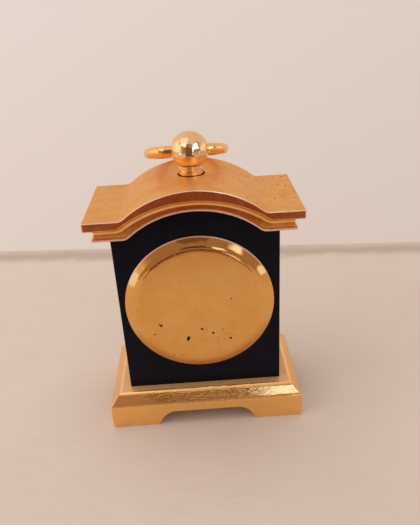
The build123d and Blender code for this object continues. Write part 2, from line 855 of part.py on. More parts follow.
# Train bridge: carries the back pivots
with BuildPart() as train_bridge:
    with BuildSketch(dial_plane(bridge_front)):
        with Locations(centre_spot, *train_spots, *pillar_spots):
            Circle(bridge_margin)
        make_hull()
    extrude(amount=-bridge_thickness)
    bridge_hole = disc_face(bridge_front, (centre_spot,), centre_arbor_radius + slide_gap)
    extrude(bridge_hole, amount=-bridge_thickness, mode=Mode.SUBTRACT)
    pivot_holes = disc_face(bridge_front, train_spots, arbor_radius + slide_gap)
    extrude(pivot_holes, amount=-bridge_thickness, mode=Mode.SUBTRACT)
    bridge_screw_holes = disc_face(bridge_front, pillar_spots, small_hole_radius)
    extrude(bridge_screw_holes, amount=-bridge_thickness, mode=Mode.SUBTRACT)

# Movement screws, for the bridge, the coil and the battery clip
with BuildPart() as movement_screws:
    for spots, seat in ((pillar_spots, bridge_back), (core_spots, core_back), (clip_spots, clip_back)):
        extrude(disc_face(seat, spots, small_screw_radius), amount=small_screw_length)
        extrude(disc_face(seat, spots, small_head_radius), amount=-small_head_height)
        with BuildSketch(dial_plane(seat + small_head_height / 2)):
            with Locations(*spots):
                Rectangle(2 * small_head_radius, small_slot)
        extrude(amount=-small_head_height, mode=Mode.SUBTRACT)

# Motion work: cannon pinion, minute wheel, hour wheel and setting wheel
with BuildPart() as cannon_pinion:
    cannon_back = work_floor - slide_gap
    cannon_front = minute_hand_front - pinion_margin
    extrude(disc_face(cannon_front, (centre_spot,), cannon_radius), amount=cannon_front - cannon_back)
    leaf_plane = dial_plane(motion_level - pinion_margin)
    cannon_face = gear_face(leaf_plane, centre_spot, cannon_teeth, motion_module, 0)
    extrude(cannon_face, amount=-cannon_length)
    arbor_hole = disc_face(dial_front, (centre_spot,), centre_arbor_radius + seat_gap)
    extrude(arbor_hole, amount=dial_front - cannon_back, mode=Mode.SUBTRACT)

with BuildPart() as minute_wheel:
    post_bore = post_radius + slide_gap
    minute_gear = gear_face(dial_plane(motion_level), minute_spot, minute_teeth, motion_module, minute_phase)
    extrude(minute_gear, amount=-wheel_thickness)
    pinion_front = hour_level - pinion_margin
    pinion_gear = gear_face(dial_plane(pinion_front), minute_spot, minute_pinion_teeth, hour_module, 0)
    extrude(pinion_gear, amount=pinion_front - motion_level)
    post_hole = disc_face(pinion_front, (minute_spot,), post_bore)
    extrude(post_hole, amount=pinion_front - work_floor, mode=Mode.SUBTRACT)

with BuildPart() as hour_wheel:
    tube_front = hour_hand_front - pinion_margin
    hour_gear = gear_face(dial_plane(hour_level), centre_spot, hour_teeth, hour_module, hour_phase)
    extrude(hour_gear, amount=-wheel_thickness)
    extrude(disc_face(tube_front, (centre_spot,), hour_tube_radius), amount=tube_front - hour_level)
    hour_bore = disc_face(tube_front, (centre_spot,), hour_tube_bore)
    extrude(hour_bore, amount=tube_front - plate_front, mode=Mode.SUBTRACT)

with BuildPart() as setting_wheel:
    setting_gear = gear_face(
        dial_plane(motion_level),
        setting_spot,
        setting_teeth,
        motion_module,
        setting_phase,
        post_radius + slide_gap,
    )
    extrude(setting_gear, amount=-wheel_thickness)

# Going train: centre wheel, third wheel, intermediate wheel and rotor
arbor_front = plate_back - pivot_depth + part_gap
arbor_back = bridge_back - part_gap
with BuildPart() as centre_wheel:
    centre_gear = gear_face(dial_plane(centre_level), centre_spot, centre_teeth, centre_module, 0)
    extrude(centre_gear, amount=-wheel_thickness)
    centre_front = dial_front + part_gap
    extrude(disc_face(centre_front, (centre_spot,), centre_arbor_radius), amount=centre_front - arbor_back)

with BuildPart() as third_wheel:
    third_gear = gear_face(dial_plane(third_level), third_spot, third_teeth, third_module, 0)
    extrude(third_gear, amount=-wheel_thickness)
    third_front = centre_level - pinion_margin
    third_pinion_plane = dial_plane(third_front)
    third_pinion = gear_face(
        third_pinion_plane, third_spot, third_pinion_teeth, centre_module, third_phase
    )
    extrude(third_pinion, amount=third_front - third_level)
    extrude(disc_face(arbor_front, (third_spot,), arbor_radius), amount=arbor_front - arbor_back)

with BuildPart() as intermediate_wheel:
    intermediate_gear = gear_face(
        dial_plane(intermediate_level), intermediate_spot, intermediate_teeth, rotor_module, 0
    )
    extrude(intermediate_gear, amount=-wheel_thickness)
    leaf_front = third_level - pinion_margin
    leaf_gear = gear_face(
        dial_plane(leaf_front), intermediate_spot, intermediate_pinion_teeth, third_module, intermediate_phase
    )
    extrude(leaf_gear, amount=leaf_front - intermediate_level)
    extrude(disc_face(arbor_front, (intermediate_spot,), arbor_radius), amount=arbor_front - arbor_back)

with BuildPart() as rotor:
    rotor_front = intermediate_level - pinion_margin
    rotor_gear = gear_face(dial_plane(rotor_front), rotor_spot, rotor_teeth, rotor_module, rotor_phase)
    extrude(rotor_gear, amount=-(wheel_thickness + 2 * pinion_margin))
    magnet_front = stator_front + stator_thickness / 2
    extrude(disc_face(magnet_front, (rotor_spot,), rotor_magnet_radius), amount=-rotor_magnet_length)
    extrude(disc_face(arbor_front, (rotor_spot,), arbor_radius), amount=arbor_front - arbor_back)

# Stepping motor: stator, core and winding
with BuildPart() as stator:
    extrude(disc_face(stator_front, (rotor_spot,), stator_hole + stator_ring), amount=-stator_thickness)
    for spot in core_spots:
        elbow = (spot[0], spot[1] - stator_elbow)
        extrude(bar_face(stator_front, rotor_spot, elbow, stator_arm), amount=-stator_thickness)
        extrude(bar_face(stator_front, elbow, spot, stator_arm), amount=-stator_thickness)
    extrude(disc_face(stator_front, (rotor_spot,), stator_hole), amount=-stator_thickness, mode=Mode.SUBTRACT)
    stator_holes = disc_face(stator_front, core_spots, small_hole_radius)
    extrude(stator_holes, amount=-stator_thickness, mode=Mode.SUBTRACT)

with BuildPart() as coil_core:
    extrude(bar_face(core_front, *core_spots, core_width), amount=-core_thickness)
    extrude(disc_face(core_front, core_spots, stator_arm / 2), amount=-core_thickness)
    extrude(disc_face(core_front, core_spots, small_hole_radius), amount=-core_thickness, mode=Mode.SUBTRACT)

with BuildPart() as coil_winding:
    with BuildSketch(Plane.YZ.offset(core_left + coil_inset)):
        with Locations((core_middle, dial_height + core_height)):
            Circle(coil_radius)
            Rectangle(core_thickness + 2 * seat_gap, core_width + 2 * seat_gap, mode=Mode.SUBTRACT)
    extrude(amount=core_right - core_left - 2 * coil_inset)

# Circuit: board, quartz can and control chip
with BuildPart() as circuit_board:
    board_sweep = board_end_angle - board_start_angle
    with BuildSketch(dial_plane(board_front)):
        with BuildLine():
            outer_arc = CenterArc((0, 0), board_outer, board_start_angle, board_sweep)
            inner_arc = CenterArc((0, 0), board_inner, board_start_angle, board_sweep)
            Line(outer_arc @ 0, inner_arc @ 0)
            Line(outer_arc @ 1, inner_arc @ 1)
        make_face()
    extrude(amount=-board_thickness)

can_spot = step_from(centre_spot, can_reach, can_angle)
with BuildPart() as quartz_can:
    with BuildSketch(Plane.YZ.offset(can_spot[0] - can_length / 2)):
        with Locations((board_back + seat_gap + can_radius, dial_height + can_spot[1])):
            Circle(can_radius)
    extrude(amount=can_length)

with BuildPart() as control_chip:
    chip_spot = step_from(centre_spot, chip_reach, chip_angle)
    extrude(disc_face(board_back + seat_gap, (chip_spot,), chip_radius), amount=-chip_height)
    fillet(control_chip.edges().group_by(Axis.Y)[-1], radius=chip_height / 2)

# Battery: cap towards the plate, can towards the back, under a strap
with BuildPart() as battery:
    extrude(disc_face(battery_front, (battery_spot,), battery_cap_radius), amount=-battery_cap_height)
    can_front = battery_front + battery_cap_height
    extrude(disc_face(can_front, (battery_spot,), battery_radius), amount=can_front - battery_back)

with BuildPart() as battery_clip:
    extrude(bar_face(clip_front, *clip_spots, 2 * clip_post_radius), amount=-clip_thickness)
    extrude(disc_face(clip_front, (battery_spot,), clip_pad), amount=-clip_thickness)
    extrude(disc_face(clip_front, clip_spots, small_hole_radius), amount=-clip_thickness, mode=Mode.SUBTRACT)

pieces = {
    "plinth": plinth,
    "plinth_screws": plinth_screws,
    "trunk": trunk,
    "cornice": cornice,
    "crown_ball": crown_ball,
    "bow": bow,
    "setting_stem": setting_stem,
    "clutch_pinion": clutch_pinion,
    "insert_tube": insert_tube,
    "bezel": bezel,
    "crystal": crystal,
    "crystal_gasket": crystal_gasket,
    "reflector_ring": reflector_ring,
    "dial": dial,
    "dial_washer": dial_washer,
    "hour_hand": hour_hand,
    "minute_hand": minute_hand,
    "movement_holder": movement_holder,
    "back_cover": back_cover,
    "back_gasket": back_gasket,
    "main_plate": main_plate,
    "train_bridge": train_bridge,
    "movement_screws": movement_screws,
    "cannon_pinion": cannon_pinion,
    "minute_wheel": minute_wheel,
    "hour_wheel": hour_wheel,
    "setting_wheel": setting_wheel,
    "centre_wheel": centre_wheel,
    "third_wheel": third_wheel,
    "intermediate_wheel": intermediate_wheel,
    "rotor": rotor,
    "stator": stator,
    "coil_core": coil_core,
    "coil_winding": coil_winding,
    "circuit_board": circuit_board,
    "quartz_can": quartz_can,
    "control_chip": control_chip,
    "battery": battery,
    "battery_clip": battery_clip,
}
for name, piece in pieces.items():
    piece.part.label = name
    export_step(piece.part, f"parts/{name}.step")
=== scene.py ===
"""Looks for the miniature mantel clock: finishes, rounded and printed pieces, stage, room and camera."""
import math

import bmesh
import bpy
from mathutils import Matrix, Vector


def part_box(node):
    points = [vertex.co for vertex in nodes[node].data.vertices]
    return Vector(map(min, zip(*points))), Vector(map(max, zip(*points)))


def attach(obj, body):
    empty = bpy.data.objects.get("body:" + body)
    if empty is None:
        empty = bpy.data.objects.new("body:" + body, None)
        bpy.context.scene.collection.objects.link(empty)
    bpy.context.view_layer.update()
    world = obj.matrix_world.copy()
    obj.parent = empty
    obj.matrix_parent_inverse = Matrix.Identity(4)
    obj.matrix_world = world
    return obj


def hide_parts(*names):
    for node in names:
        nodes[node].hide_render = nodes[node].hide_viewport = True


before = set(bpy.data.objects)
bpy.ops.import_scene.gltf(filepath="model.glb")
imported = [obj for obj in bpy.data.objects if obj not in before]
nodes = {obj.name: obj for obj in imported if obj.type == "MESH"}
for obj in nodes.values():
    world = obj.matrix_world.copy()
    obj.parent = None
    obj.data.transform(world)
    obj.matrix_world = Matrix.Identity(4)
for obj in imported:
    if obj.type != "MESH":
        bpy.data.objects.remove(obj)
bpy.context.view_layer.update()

MM = 0.001
scene = bpy.context.scene
plinth_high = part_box("plinth")[1]
cover_low, cover_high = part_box("back_cover")
dial_low, dial_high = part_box("dial")
COVER_CENTRE = (cover_low.z + cover_high.z) / 2
COVER_RIM = (cover_high.z - cover_low.z) / 2
COVER_FACE = 11.6 * MM
DIAL_CENTRE = Vector((0, dial_low.y, (dial_low.z + dial_high.z) / 2))


# Node trees

NOISE_ROUGH = 0.55
# Pits: the slant of the long ones in degrees, and the reach, with a noise added to it, of their edge
PIT_SLANT = 24
PIT_EDGE = (1.66, 1.4)


class Finish:
    """A material with a Principled shader, and short ways to add the nodes that drive it."""

    def __init__(self, name, **plain):
        self.material = bpy.data.materials.new(name)
        self.material.use_nodes = True
        self.tree = self.material.node_tree
        self.shader = self.tree.nodes["Principled BSDF"]
        self.place = self.add("ShaderNodeTexCoord").outputs["Object"]
        for socket, value in plain.items():
            self.shader.inputs[socket.replace("_", " ")].default_value = value

    def add(self, kind, links=None, **settings):
        """A new node, each of its inputs joined to a socket or set to a value."""
        node = self.tree.nodes.new(kind)
        for name, value in settings.items():
            setattr(node, name, value)
        for socket, value in (links or {}).items():
            if isinstance(value, bpy.types.NodeSocket):
                self.tree.links.new(value, node.inputs[socket])
            else:
                node.inputs[socket].default_value = value
        return node

    def drive(self, socket, source):
        """Joins a node's output to an input of the shader."""
        self.tree.links.new(source, self.shader.inputs[socket])

    def worn(self):
        """Joins the tone, gloss and normal gathered so far to the shader, and gives the material."""
        self.drive("Base Color", self.tone)
        self.drive("Roughness", self.gloss)
        self.drive("Normal", self.normal)
        return self.material

    def noise(self, size_mm, detail=3.0, stretch=(1, 1, 1)):
        """Noise whose features are about size_mm across, drawn out along an axis by stretch."""
        scale = [1 / (size_mm * MM * s) for s in stretch]
        moved = self.add("ShaderNodeMapping", {"Vector": self.place, "Scale": scale}).outputs[0]
        links = {"Vector": moved, "Scale": 1.0, "Detail": detail, "Roughness": NOISE_ROUGH}
        return self.add("ShaderNodeTexNoise", links).outputs[0]

    def span(self, value, low, high, new_low=0.0, new_high=1.0, shape="LINEAR"):
        """A value from low to high, mapped to new_low to new_high and held there."""
        links = {"Value": value, "From Min": low, "From Max": high}
        links.update({"To Min": new_low, "To Max": new_high})
        return self.add("ShaderNodeMapRange", links, interpolation_type=shape).outputs[0]

    def uneven(self, size_mm, low=0.0, high=1.0, reach=0.2, **kind):
        """Noise spread from low to high, and held there further than reach from its middle."""
        return self.span(self.noise(size_mm, **kind), 0.5 - reach, 0.5 + reach, low, high)

    def band(self, value, start, end):
        """0 before a start, 1 between, and 0 after an end, each a stretch from low to high."""
        return self.times(self.span(value, *start), self.span(value, end[1], end[0]))

    def math(self, operation, a, b=0.0):
        return self.add("ShaderNodeMath", {0: a, 1: b}, operation=operation).outputs[0]

    def times(self, a, b):
        return self.math("MULTIPLY", a, b)

    def rest(self, share):
        """What a share leaves of 1."""
        return self.math("SUBTRACT", 1.0, share)

    def size(self, value):
        return self.math("ABSOLUTE", value)

    def blend(self, share, a, b):
        """Value a where share is 0 and value b where it is 1."""
        return self.add("ShaderNodeMix", {"Factor": share, 2: a, 3: b}, data_type="FLOAT").outputs[0]

    def mix(self, share, a, b):
        """Colour a where share is 0 and colour b where it is 1."""
        a, b = [c if isinstance(c, bpy.types.NodeSocket) else (*c, 1) for c in (a, b)]
        return self.add("ShaderNodeMix", {"Factor": share, 6: a, 7: b}, data_type="RGBA").outputs[2]

    def axis(self, letter):
        """How far along an axis a point lies."""
        return self.add("ShaderNodeSeparateXYZ", {0: self.place}).outputs[letter]

    def facing(self, letter):
        """How squarely the surface faces along an axis: -1 to 1."""
        normal = self.add("ShaderNodeTexCoord").outputs["Normal"]
        return self.add("ShaderNodeSeparateXYZ", {0: normal}).outputs[letter]

    def specks(self, cell_mm, size_share, kept_share, wobble=0.0):
        """Round specks, one in some of the cells of a random pattern: 1 in a speck, 0 outside."""
        links = {"Vector": self.place, "Scale": 1 / (cell_mm * MM)}
        cells = self.add("ShaderNodeTexVoronoi", links)
        chance = self.add("ShaderNodeSeparateColor", {0: cells.outputs["Color"]}).outputs[0]
        kept = self.math("LESS_THAN", chance, kept_share)
        size = self.times(chance, size_share / kept_share)
        near = self.math("SUBTRACT", size, cells.outputs["Distance"])
        if wobble:
            near = self.math("ADD", near, self.uneven(cell_mm / 8, -wobble, wobble))
        return self.times(kept, self.span(near, 0.0, size_share / 4))

    def spot(self, centre, radius_mm, draw, wobble):
        """A pit round a point, drawn out aslant: 1 inside, 0 outside, its edge uneven by a noise."""
        slant = (0, math.radians(PIT_SLANT), 0)
        squeeze = (1 / (radius_mm * MM), 1 / (radius_mm * MM), 1 / (radius_mm * draw * MM))
        links = {0: self.place, 1: centre}
        away = self.add("ShaderNodeVectorMath", links, operation="SUBTRACT").outputs[0]
        aslant = self.add("ShaderNodeMapping", {"Vector": away, "Rotation": slant}).outputs[0]
        scaled = self.add("ShaderNodeMapping", {"Vector": aslant, "Scale": squeeze}).outputs[0]
        reach = self.add("ShaderNodeVectorMath", {0: scaled}, operation="LENGTH").outputs["Value"]
        return self.span(self.math("ADD", reach, wobble), *PIT_EDGE)

    def bump(self, height, depth_mm, strength=1.0, normal=None):
        """A normal bent by a height, over the normal so far."""
        links = {"Height": height, "Distance": depth_mm * MM, "Strength": strength}
        if normal:
            links["Normal"] = normal
        return self.add("ShaderNodeBump", links).outputs[0]


# Golds: plain, pale and reddish tones of one plate

GOLD = ((0.85, 0.45, 0.125), (0.89, 0.50, 0.155), (0.79, 0.37, 0.088))
GOLD_DEEP = ((0.90, 0.48, 0.16), (0.92, 0.525, 0.19), (0.83, 0.39, 0.11))
# A lighter copy of the plate, painted as if more brightly lit
GOLD_LIT = ((1.0, 0.57, 0.185), (1.0, 0.605, 0.21), (0.97, 0.515, 0.15))
# A paler copy still, a painted highlight for the polished small parts
GOLD_HIGHLIGHTED = ((0.93, 0.62, 0.31), (0.96, 0.66, 0.36), (0.88, 0.54, 0.23))
GOLD_DULL = (0.86, 0.49, 0.22)
# A pale, dull tone for painted edge highlights
GOLD_EDGE_HIGHLIGHT, EDGE_HIGHLIGHT_GLOSS = (1.0, 0.72, 0.52), 0.42
GOLD_STAIN = (0.86, 0.40, 0.06)
RUST = (0.18, 0.055, 0.028)
TARNISH = (0.030, 0.016, 0.010)


def gold(name, smooth, rough, tones=GOLD, skin=0.2, peel_mm=0.0, grain_mm=0.55):
    """Gold plate: uneven tone, a roughness between two values, a fine skin and orange peel."""
    plain, pale, red = tones
    f = Finish(name, Metallic=1.0)
    tone = f.mix(f.uneven(6.0, reach=0.15, detail=4.0), plain, pale)
    f.tone = f.mix(f.span(f.noise(2.2, detail=5.0), 0.5, 0.8, 0.0, 0.5), tone, red)
    f.gloss = f.uneven(0.9, smooth, rough, detail=6.0)
    f.normal = f.bump(f.noise(0.16, detail=2.0), 0.003, skin)
    if peel_mm:
        f.normal = f.bump(f.noise(grain_mm, detail=2.0), peel_mm, normal=f.normal)
    return f


def edge_highlight(f, mask):
    """Painted highlight: edges painted pale and dull, as where light catches them."""
    f.tone = f.mix(mask, f.tone, GOLD_EDGE_HIGHLIGHT)
    f.gloss = f.blend(mask, f.gloss, EDGE_HIGHLIGHT_GLOSS)


def pitted(f, mask, colour, rough, depth_mm):
    """Pits in the plate, down to the base metal."""
    f.tone = f.mix(mask, f.tone, colour)
    f.gloss = f.math("MAXIMUM", f.gloss, f.times(mask, rough))
    f.normal = f.bump(f.rest(mask), depth_mm, normal=f.normal)


def specked(f, cell_mm, size_share, kept_share, where=None):
    """Specks of rust in all of the plate, or where a share says."""
    mask = f.specks(cell_mm, size_share, kept_share, wobble=size_share / 4)
    if where:
        mask = f.times(mask, where)
    pitted(f, mask, RUST, rough=0.6, depth_mm=0.02)


# Heights on the plinth at which its finishes begin and end
BEVEL_START = (4.5 * MM, 4.8 * MM)
LEDGE_START = (7.17 * MM, 7.198 * MM)
# Where the painted highlight along the bevel's top edge grows in and fades out
EDGE_LIGHT_START, EDGE_LIGHT_END = (6.95 * MM, 7.08 * MM), (7.15 * MM, 7.19 * MM)


def cast_gold():
    """The plinth in the gold's lit copy (painted light): satin faces, a polished bevel with streaks in it,
    a dull ledge round the trunk and a painted highlight on the bevel's top edge.
    """
    f = gold("gold_cast", 0.20, 0.28, tones=GOLD_LIT, skin=0.0)
    height = f.axis("Z")
    bevel = f.band(height, BEVEL_START, LEDGE_START)
    ledge = f.span(height, *LEDGE_START)
    f.gloss = f.blend(bevel, f.gloss, f.uneven(0.8, 0.06, 0.13, reach=0.15, detail=5.0))
    f.gloss = f.blend(ledge, f.gloss, f.uneven(0.7, 0.36, 0.5, detail=5.0))
    f.tone = f.mix(f.times(ledge, 0.85), f.tone, GOLD_DULL)
    f.drive("Metallic", f.blend(ledge, 1.0, 0.45))
    middle = f.span(f.size(f.axis("X")), 15 * MM, 6 * MM, 0.25, 1.0)
    waves = f.noise(0.34, stretch=(4, 1, 1))
    streaks = f.times(waves, f.times(bevel, middle))
    f.normal = f.bump(streaks, 0.075, normal=f.normal)
    # Painted highlight, at half strength, along the bevel's top edge
    edge_highlight(f, f.times(f.band(height, EDGE_LIGHT_START, EDGE_LIGHT_END), 0.5))
    return f.worn()


# On the cornice: where its rust begins and is full, across, and where its bead's front lies and ends
RUST_START = (2 * MM, -10 * MM)
BEAD_FRONT, BEAD_END = 8.95 * MM, (0.14 * MM, 0.08 * MM)


def moulded_gold():
    """The cornice: satin on top, with specks of rust towards one end, polished round its mouldings, and
    painted highlights on the slab's top edge and the bead's lower edge.
    """
    f = gold("gold_moulded", 0.50, 0.60, tones=GOLD_DEEP, skin=0.0, peel_mm=0.0015, grain_mm=0.8)
    outward, upward = f.size(f.facing("Y")), f.facing("Z")
    front = f.span(outward, 0.15, 0.35)
    top = f.rest(front)
    f.tone = f.mix(f.span(f.noise(3.5, detail=5.0), 0.46, 0.66, 0.0, 0.6), f.tone, GOLD_STAIN)
    f.gloss = f.blend(front, f.gloss, f.uneven(1.2, 0.09, 0.16, detail=4.0))
    specked(f, 0.75, 0.30, 0.7, where=f.times(top, f.span(f.axis("X"), *RUST_START)))
    specked(f, 1.6, 0.08, 0.3, where=top)
    # Painted highlight along the rounded edges that face both out and up
    edge_highlight(f, f.span(f.math("MINIMUM", outward, upward), 0.2, 0.4))
    # Painted highlight along the bead's lower edge
    off_bead = f.size(f.math("SUBTRACT", f.size(f.axis("Y")), BEAD_FRONT))
    upright = f.times(f.span(outward, 0.35, 0.5), f.span(upward, -0.55, -0.35))
    edge_highlight(f, f.times(upright, f.span(off_bead, *BEAD_END)))
    return f.worn()


def polished_gold(name, peel_mm):
    """The small bright parts, in the paler highlighted gold (a painted highlight): smooth, more or less
    even, with a few pits.
    """
    f = gold(name, 0.05, 0.12, tones=GOLD_HIGHLIGHTED, skin=0.1, peel_mm=peel_mm, grain_mm=1.0)
    specked(f, 0.8, 0.2, 0.16)
    return f.worn()


def drawn_gold():
    """The bow: bent wire in the gold's lit copy (painted light), a little less bright than the ball."""
    return gold("gold_drawn", 0.10, 0.18, tones=GOLD_LIT, skin=0.1).worn()


# Pits in the back cover's face: across, up, radius in mm, and how far drawn out
PITS = (
    (7.50, 22.18, 0.25, 1), (7.84, 22.44, 0.14, 1), (8.84, 20.34, 0.15, 1), (2.63, 18.88, 0.28, 1.9),
    (-0.09, 20.84, 0.24, 1), (-0.96, 20.71, 0.10, 1), (-2.16, 19.80, 0.22, 1), (-3.94, 20.42, 0.13, 1),
    (-4.62, 19.37, 0.10, 1), (-5.42, 18.37, 0.22, 1), (-5.82, 27.07, 0.13, 1), (4.11, 15.23, 0.13, 1),
    (9.76, 19.49, 0.09, 1), (11.5, 25.79, 0.09, 1), (3.73, 36.65, 0.10, 1), (-3.0, 17.69, 0.09, 1),
)
# Out from the cover's centre: where the satin of its face ends, and where the painted highlight on the lip
# of its rim begins
FACE_END = (COVER_FACE + 0.25 * MM, COVER_FACE - 0.35 * MM)
LIP_HIGHLIGHT_START = (COVER_RIM - 0.20 * MM, COVER_RIM - 0.10 * MM)
# Up the cover: where its rim grows dull downwards, and where the painted highlight on its lip grows in
# upwards
DULL_START = (COVER_CENTRE - 3 * MM, COVER_CENTRE - 7 * MM)
LIP_HIGHLIGHT_UP = (COVER_CENTRE + 4 * MM, COVER_CENTRE + 9 * MM)


def cover_gold():
    """The back cover: a satin face with pits in it, a polished rim, dull at its foot, and a painted
    highlight along the top of its lip.
    """
    f = gold("gold_cover", 0.27, 0.33, skin=0.1)
    height = f.axis("Z")
    links = {0: f.place, 1: (0, cover_high.y, COVER_CENTRE)}
    reach = f.add("ShaderNodeVectorMath", links, operation="DISTANCE").outputs["Value"]
    face = f.span(reach, *FACE_END)
    rim = f.math("ADD", f.span(height, *DULL_START, 0.0, 0.46), f.uneven(1.5, 0.05, 0.10))
    f.gloss = f.blend(face, rim, f.gloss)
    ripple = f.times(f.rest(face), f.noise(2.6, detail=1.0))
    f.normal = f.bump(ripple, 0.055, normal=f.normal)
    wobble = f.noise(0.25)
    mask = f.times(f.specks(1.3, 0.04, 0.3), 0.7)
    for x, z, radius, draw in PITS:
        spot = f.spot((x * MM, cover_high.y, z * MM), radius, draw, wobble)
        mask = f.math("MAXIMUM", mask, spot)
    pitted(f, f.times(face, mask), TARNISH, rough=0.8, depth_mm=0.04)
    # Painted highlight along the rim's lip, towards its top
    edge_highlight(f, f.times(f.span(reach, *LIP_HIGHLIGHT_START), f.span(height, *LIP_HIGHLIGHT_UP)))
    return f.worn()


# Other finishes

LACQUER_DARK, LACQUER_PALE = (0.0016, 0.0028, 0.0062), (0.0028, 0.0044, 0.0086)
DUST = (0.12, 0.11, 0.10)
MARK, MARK_AT, MARK_RADIUS = (0.06, 0.008, 0.006), (-0.1 * MM, 7.0 * MM, 10.56 * MM), 0.25
GLASS_DARK, GLASS_PALE = (0.985, 0.992, 0.99), (1.0, 1.0, 1.0)


def lacquer():
    """Black lacquer: deep, with faint dust, hairlines, patchy gloss and a small dark red mark low on the
    back.
    """
    f = Finish("black_lacquer_coat", Specular_IOR_Level=0.10, Coat_Weight=0.02, Coat_Roughness=0.1)
    tone = f.mix(f.uneven(4.0), LACQUER_DARK, LACQUER_PALE)
    tone = f.mix(f.times(f.specks(0.8, 0.06, 0.25), 0.10), tone, DUST)
    mark = f.spot(MARK_AT, MARK_RADIUS, 0.7, f.noise(0.3))
    f.tone = f.mix(f.times(mark, 0.6), tone, MARK)
    hair = f.span(f.noise(0.06, detail=1.0, stretch=(1, 1, 60)), 0.68, 0.74, 0.0, 0.12)
    f.gloss = f.math("ADD", f.uneven(3.0, 0.22, 0.36, detail=5.0), hair)
    f.normal = f.bump(f.noise(0.7, detail=2.0), 0.004, 0.5)
    return f.worn()


def glass():
    """The crystal: clear, with faint smears."""
    f = Finish("crystal_glass", Transmission_Weight=1.0, IOR=1.5)
    f.drive("Roughness", f.span(f.noise(5.0, detail=4.0), 0.45, 0.75, 0.0, 0.03))
    f.drive("Base Color", f.mix(f.noise(8.0), GLASS_DARK, GLASS_PALE))
    return f.material


def plain_metal(name, dark, pale, smooth, rough, stretch=(1, 1, 1)):
    """A turned or stamped metal: fine drawn-out grain in its tone and surface, and uneven gloss."""
    f = Finish(name, Metallic=1.0)
    grain = f.noise(0.12, detail=4.0, stretch=stretch)
    f.tone = f.mix(f.span(grain, 0.3, 0.7), dark, pale)
    f.gloss = f.uneven(0.5, smooth, rough)
    f.normal = f.bump(grain, 0.004, 0.4)
    return f.worn()


def plain_solid(name, dark, pale, smooth, rough, size_mm=0.4, depth_mm=0.004):
    """A moulded, painted or rubber surface: mottled tone, uneven gloss and a fine skin."""
    f = Finish(name)
    f.tone = f.mix(f.uneven(size_mm, reach=0.15, detail=4.0), dark, pale)
    f.gloss = f.uneven(size_mm * 2, smooth, rough)
    f.normal = f.bump(f.noise(size_mm / 3), depth_mm, 0.6)
    return f.worn()


finishes = {
    "gold_cast": cast_gold(),
    "gold_moulded": moulded_gold(),
    "gold_ball": polished_gold("gold_ball", 0.06),
    "gold_polished": polished_gold("gold_polished", 0.005),
    "gold_drawn": drawn_gold(),
    "gold_cover": cover_gold(),
    "lacquer": lacquer(),
    "glass": glass(),
    "steel": plain_metal("steel_turned", (0.42, 0.42, 0.43), (0.58, 0.58, 0.59), 0.22, 0.36),
    "brass": plain_metal("brass_turned", (0.55, 0.37, 0.13), (0.70, 0.50, 0.20), 0.24, 0.38),
    "soft_iron": plain_metal("soft_iron_stamped", (0.24, 0.24, 0.25), (0.34, 0.34, 0.35), 0.35, 0.5),
    "copper": plain_metal(
        "copper_wound", (0.45, 0.17, 0.07), (0.72, 0.32, 0.15), 0.25, 0.4, stretch=(1, 20, 20)
    ),
    "white_nylon": plain_solid("white_nylon_moulded", (0.66, 0.65, 0.62), (0.76, 0.75, 0.72), 0.4, 0.55),
    "dial_enamel": plain_solid(
        "dial_enamel", (0.74, 0.71, 0.64), (0.80, 0.775, 0.71), 0.28, 0.4, size_mm=2.5, depth_mm=0.002
    ),
    "black_paint": plain_solid("black_paint", (0.006, 0.006, 0.007), (0.016, 0.015, 0.015), 0.3, 0.45),
    "holder_plastic": plain_solid("holder_plastic", (0.10, 0.10, 0.11), (0.16, 0.16, 0.17), 0.45, 0.6),
    "black_rubber": plain_solid("black_rubber", (0.010, 0.010, 0.010), (0.025, 0.024, 0.023), 0.6, 0.8),
    "board_green": plain_solid(
        "board_green_resist", (0.012, 0.10, 0.035), (0.03, 0.16, 0.06), 0.3, 0.45
    ),
    "black_epoxy": plain_solid("black_epoxy_drop", (0.008, 0.008, 0.008), (0.02, 0.02, 0.02), 0.25, 0.4),
}

worn_by = {
    "gold_cast": ["plinth"],
    "gold_moulded": ["cornice"],
    "gold_ball": ["crown_ball"],
    "gold_polished": ["bezel", "reflector_ring"],
    "gold_drawn": ["bow"],
    "gold_cover": ["back_cover"],
    "lacquer": ["trunk"],
    "glass": ["crystal"],
    "steel": [
        "plinth_screws", "setting_stem", "clutch_pinion", "train_bridge", "movement_screws",
        "setting_wheel", "quartz_can", "battery", "battery_clip",
    ],
    "brass": [
        "insert_tube", "dial_washer", "main_plate", "cannon_pinion", "minute_wheel", "hour_wheel",
        "centre_wheel", "third_wheel", "intermediate_wheel",
    ],
    "soft_iron": ["rotor", "stator", "coil_core"],
    "copper": ["coil_winding"],
    "white_nylon": ["crystal_gasket"],
    "dial_enamel": ["dial"],
    "black_paint": ["hour_hand", "minute_hand"],
    "holder_plastic": ["movement_holder"],
    "black_rubber": ["back_gasket"],
    "board_green": ["circuit_board"],
    "black_epoxy": ["control_chip"],
}
for finish, names in worn_by.items():
    for name in names:
        nodes[name].material_slots[0].material = finishes[finish]
nodes["crystal"].visible_shadow = False


# Pieces

def new_piece(name, mesh, finish, body):
    """A piece of the clock from a mesh, riding on a body."""
    piece = bpy.data.objects.new(name, mesh)
    scene.collection.objects.link(piece)
    mesh.materials.append(finishes[finish])
    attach(piece, body)
    return piece


# Plinth: its edges under and over the bevel rounded as polishing leaves them

PLINTH_BLOCK, LEDGE_SIDE, LEDGE_FRONT = 5.0 * MM, 2.0 * MM, 1.7 * MM
BEVEL_RISE = plinth_high.z - PLINTH_BLOCK
# Half the low rounding's height, and half the high one's share of the way in
SOFT_LOW, SOFT_HIGH = 0.45 * MM, 0.26
CUTS = (-1.0, -0.75, -0.5, -0.25, 0.0, 0.25, 0.5, 0.75, 1.0)
